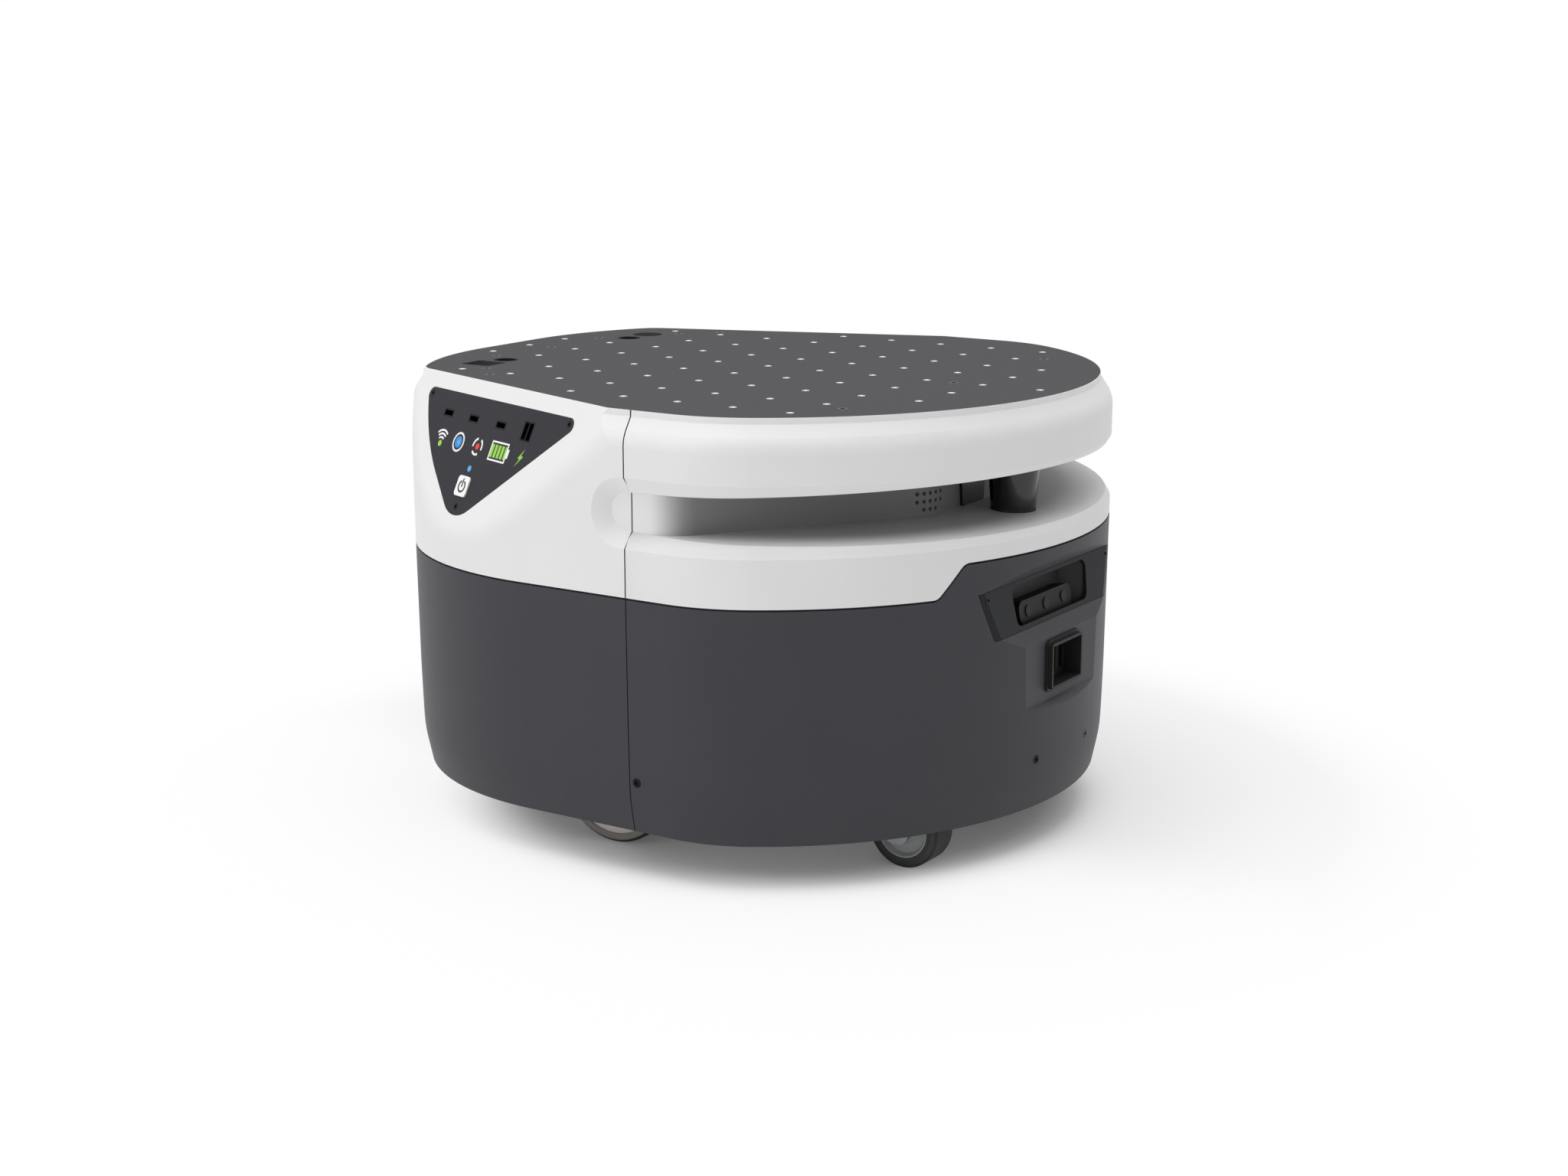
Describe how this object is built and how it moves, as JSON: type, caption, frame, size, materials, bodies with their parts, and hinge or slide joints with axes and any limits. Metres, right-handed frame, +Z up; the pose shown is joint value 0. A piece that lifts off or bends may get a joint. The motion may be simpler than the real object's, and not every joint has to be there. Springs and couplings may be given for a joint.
{
  "type": "autonomous mobile robot",
  "caption": "Low, round-nosed mobile robot with a flat load deck, a scanner slot, drive wheels, casters, a camera, a charging port and a side control panel.",
  "frame": {"origin": "on the floor under the middle of the body", "axes": "+X forwards to the nose, +Y to the robot's left, +Z up"},
  "size_m": [0.5627, 0.5246, 0.359],
  "materials": {
    "aluminium": "satin",
    "brass": "polished",
    "dark_plastic": "satin",
    "dark_steel": "satin",
    "deck_metal": "fine texture",
    "gloss_black": "gloss",
    "hub_beige": "satin",
    "hub_grey": "satin",
    "lamp": "gloss",
    "lens": "gloss",
    "light_plastic": "satin",
    "panel_plastic": "satin",
    "steel": "brushed",
    "tyre_black": "matt",
    "tyre_brown": "matt",
    "white_button": "satin"
  },
  "bodies": {
    "root": {"battery_pack": "dark_plastic", "battery_tray": "steel", "bezel_screws": "dark_steel", "button_switch": "dark_plastic", "camera_bezel": "panel_plastic", "camera_body": "gloss_black", "camera_lenses": "lens", "camera_pocket": "dark_plastic", "caster_plates": "steel", "charge_contacts": "brass", "charge_flange": "dark_plastic", "charge_socket": "dark_plastic", "chassis_plate": "aluminium", "computer_box": "aluminium", "control_panel": "panel_plastic", "deck_connectors": "dark_plastic", "deck_plate": "deck_metal", "deck_posts": "aluminium", "deck_screws": "dark_steel", "drive_motor_left": "dark_steel", "drive_motor_right": "dark_steel", "front_brim": "light_plastic", "front_ledge_cover": "light_plastic", "front_skirt": "dark_plastic", "lidar_base": "dark_plastic", "lidar_window": "gloss_black", "motor_bracket_left": "aluminium", "motor_bracket_right": "aluminium", "motor_controller": "aluminium", "panel_ports": "steel", "panel_screws": "dark_steel", "rear_skirt": "dark_plastic", "rear_upper_cover": "light_plastic", "sensor_window": "gloss_black", "skirt_screws": "dark_steel", "slot_wall": "light_plastic", "speakers": "dark_plastic", "status_lights": "lamp"},
    "drive_wheel_left": {"drive_hub_left": "hub_beige", "drive_tyre_left": "tyre_brown"},
    "drive_wheel_right": {"drive_hub_right": "hub_beige", "drive_tyre_right": "tyre_brown"},
    "caster_swivel_front_left": {"caster_fork_front_left": "steel", "caster_axle_front_left": "steel"},
    "caster_roller_front_left": {"caster_wheel_front_left": "hub_grey", "caster_tyre_front_left": "tyre_black"},
    "caster_swivel_front_right": {"caster_fork_front_right": "steel", "caster_axle_front_right": "steel"},
    "caster_roller_front_right": {"caster_wheel_front_right": "hub_grey", "caster_tyre_front_right": "tyre_black"},
    "caster_swivel_rear_left": {"caster_fork_rear_left": "steel", "caster_axle_rear_left": "steel"},
    "caster_roller_rear_left": {"caster_wheel_rear_left": "hub_grey", "caster_tyre_rear_left": "tyre_black"},
    "caster_swivel_rear_right": {"caster_fork_rear_right": "steel", "caster_axle_rear_right": "steel"},
    "caster_roller_rear_right": {"caster_wheel_rear_right": "hub_grey", "caster_tyre_rear_right": "tyre_black"},
    "button": {"power_button": "white_button"},
    "scanner_rotor": {"lidar_mirror": "aluminium"}
  },
  "joints": [
    {"name": "drive_axle_left", "type": "hinge", "parent": "root", "child": "drive_wheel_left", "pos_m": [-0.02, 0.1785, 0.0525], "axis": [0, 1, 0], "continuous": true},
    {"name": "drive_axle_right", "type": "hinge", "parent": "root", "child": "drive_wheel_right", "pos_m": [-0.02, -0.1785, 0.0525], "axis": [0, 1, 0], "continuous": true},
    {"name": "caster_pin_front_left", "type": "hinge", "parent": "root", "child": "caster_swivel_front_left", "pos_m": [0.186, 0.111, 0.074], "axis": [0, 0, 1], "continuous": true},
    {"name": "caster_axle_front_left", "type": "hinge", "parent": "caster_swivel_front_left", "child": "caster_roller_front_left", "pos_m": [0.204, 0.111, 0.03], "axis": [0, 1, 0], "continuous": true},
    {"name": "caster_pin_front_right", "type": "hinge", "parent": "root", "child": "caster_swivel_front_right", "pos_m": [0.186, -0.111, 0.074], "axis": [0, 0, 1], "continuous": true},
    {"name": "caster_axle_front_right", "type": "hinge", "parent": "caster_swivel_front_right", "child": "caster_roller_front_right", "pos_m": [0.204, -0.111, 0.03], "axis": [0, 1, 0], "continuous": true},
    {"name": "caster_pin_rear_left", "type": "hinge", "parent": "root", "child": "caster_swivel_rear_left", "pos_m": [-0.208, 0.085, 0.074], "axis": [0, 0, 1], "continuous": true},
    {"name": "caster_axle_rear_left", "type": "hinge", "parent": "caster_swivel_rear_left", "child": "caster_roller_rear_left", "pos_m": [-0.19, 0.085, 0.03], "axis": [0, 1, 0], "continuous": true},
    {"name": "caster_pin_rear_right", "type": "hinge", "parent": "root", "child": "caster_swivel_rear_right", "pos_m": [-0.208, -0.085, 0.074], "axis": [0, 0, 1], "continuous": true},
    {"name": "caster_axle_rear_right", "type": "hinge", "parent": "caster_swivel_rear_right", "child": "caster_roller_rear_right", "pos_m": [-0.19, -0.085, 0.03], "axis": [0, 1, 0], "continuous": true},
    {"name": "power_button_press", "type": "slide", "parent": "root", "child": "button", "axis": [0.3095, 0.8595, -0.4067], "range_m": [0, 0.0015], "stiffness_N_per_m": 800, "springref_m": -0.0005},
    {"name": "scanner_spin", "type": "hinge", "parent": "root", "child": "scanner_rotor", "pos_m": [0.229, 0, 0.274], "axis": [0, 0, 1], "continuous": true}
  ]
}
